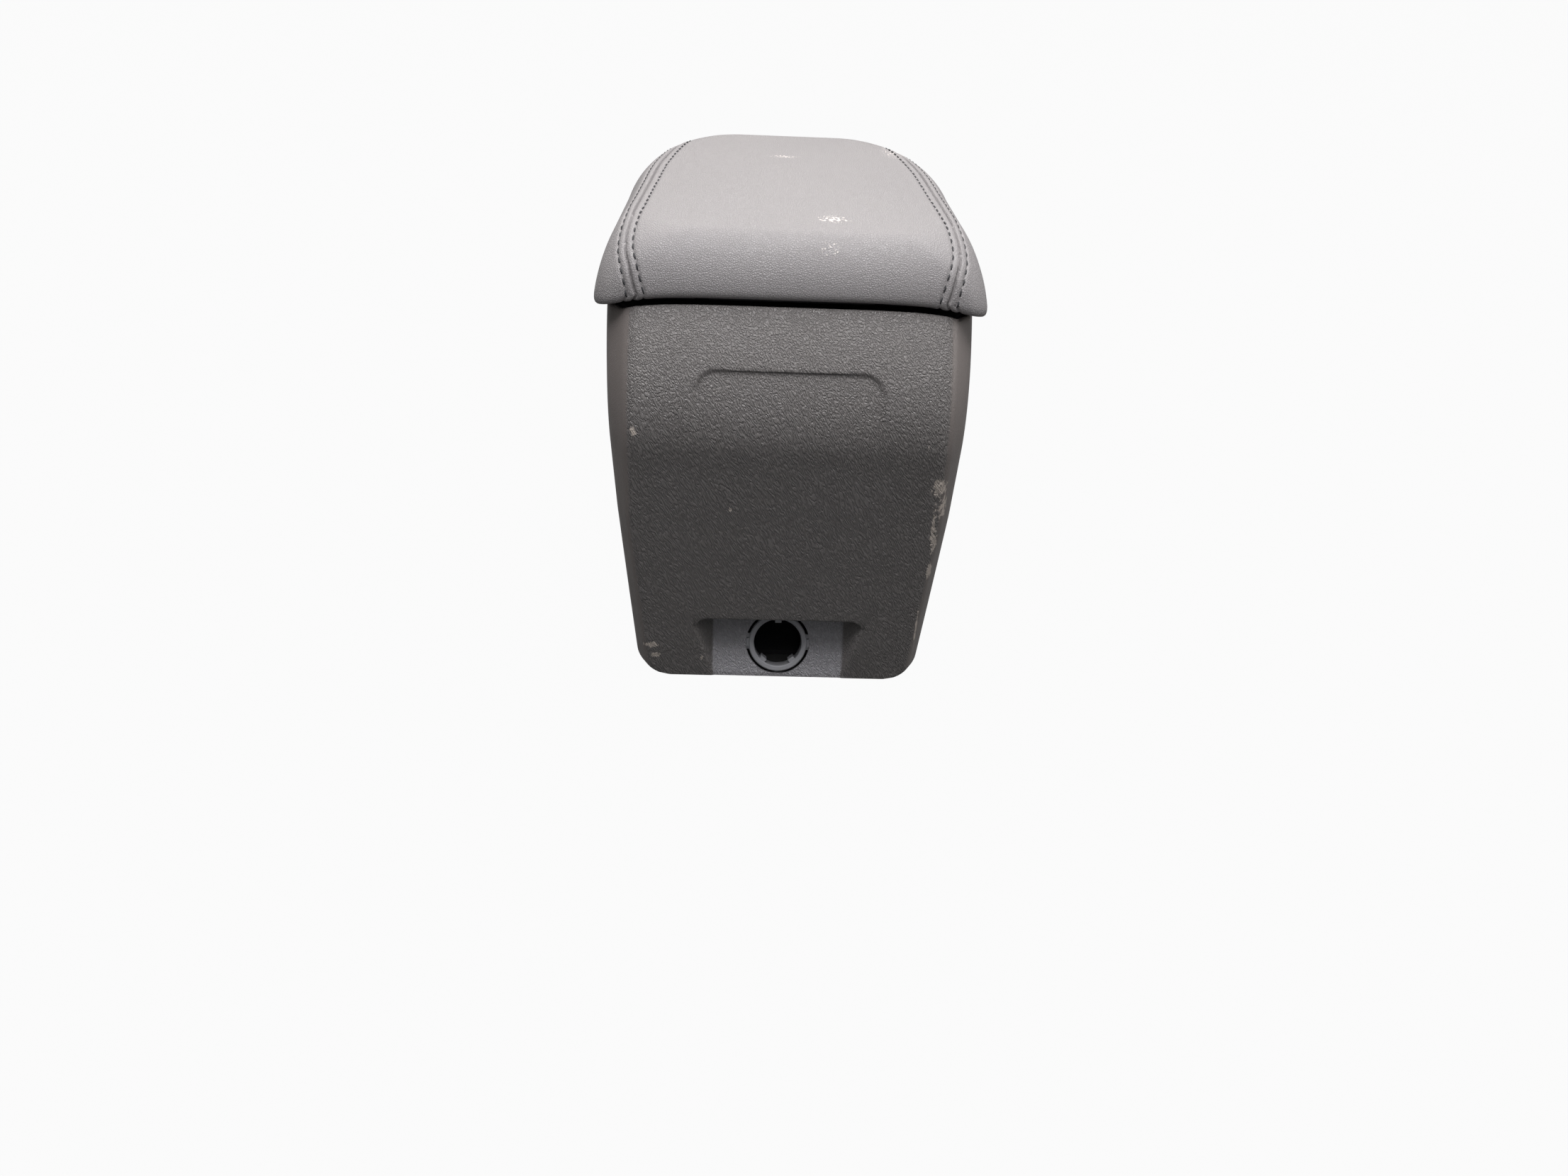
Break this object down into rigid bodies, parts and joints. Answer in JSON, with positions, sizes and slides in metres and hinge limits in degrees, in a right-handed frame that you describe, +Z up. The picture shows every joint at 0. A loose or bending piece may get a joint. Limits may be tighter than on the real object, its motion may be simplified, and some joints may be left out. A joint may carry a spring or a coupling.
{
  "type": "car centre armrest",
  "caption": "Padded, leather-covered armrest lid hinged at the rear of a tapered car console with a storage bin inside and a power socket niche in its rear face.",
  "frame": {"origin": "centre of the bounding box's footprint, on the floor that the base plate stands on", "axes": "+Z up, -Y towards the rear of the car (the face with the socket niche), +X to the right seen from the rear"},
  "size_m": [0.1992, 0.268, 0.2479],
  "materials": {
    "cover_plastic": "grained matte",
    "sleeve_plastic": "satin grey",
    "inner_plastic": "fine grained matte",
    "mat_rubber": "matte",
    "base_steel": "satin dark coating",
    "hinge_steel": "satin dark coating",
    "pin_steel": "ground",
    "screw_steel": "zinc plated",
    "washer_plastic": "smooth",
    "bumper_rubber": "matte",
    "foam": "moulded foam",
    "leather": "satin, fine grain"
  },
  "bodies": {
    "root": {"console_cover": "cover_plastic", "socket_sleeve": "sleeve_plastic", "storage_bin": "inner_plastic", "bin_mat": "mat_rubber", "base_plate": "base_steel", "cover_screws": "screw_steel", "bin_screws": "screw_steel", "hinge_base": "hinge_steel", "hinge_base_screws": "screw_steel", "hinge_pin": "pin_steel", "hinge_washers": "washer_plastic", "lid_bumpers": "bumper_rubber"},
    "lid": {"hinge_leaf": "hinge_steel", "leaf_screws": "screw_steel", "lid_carrier": "inner_plastic", "lid_foam": "foam", "lid_cover_centre": "leather", "lid_cover_left": "leather", "lid_cover_right": "leather", "lid_lining": "inner_plastic", "lining_screws": "screw_steel"}
  },
  "joints": [
    {"name": "lid_hinge", "type": "hinge", "parent": "root", "child": "lid", "pos_m": [0, -0.093, 0.2191], "axis": [1, 0, 0], "range_deg": [0, 95]}
  ]
}
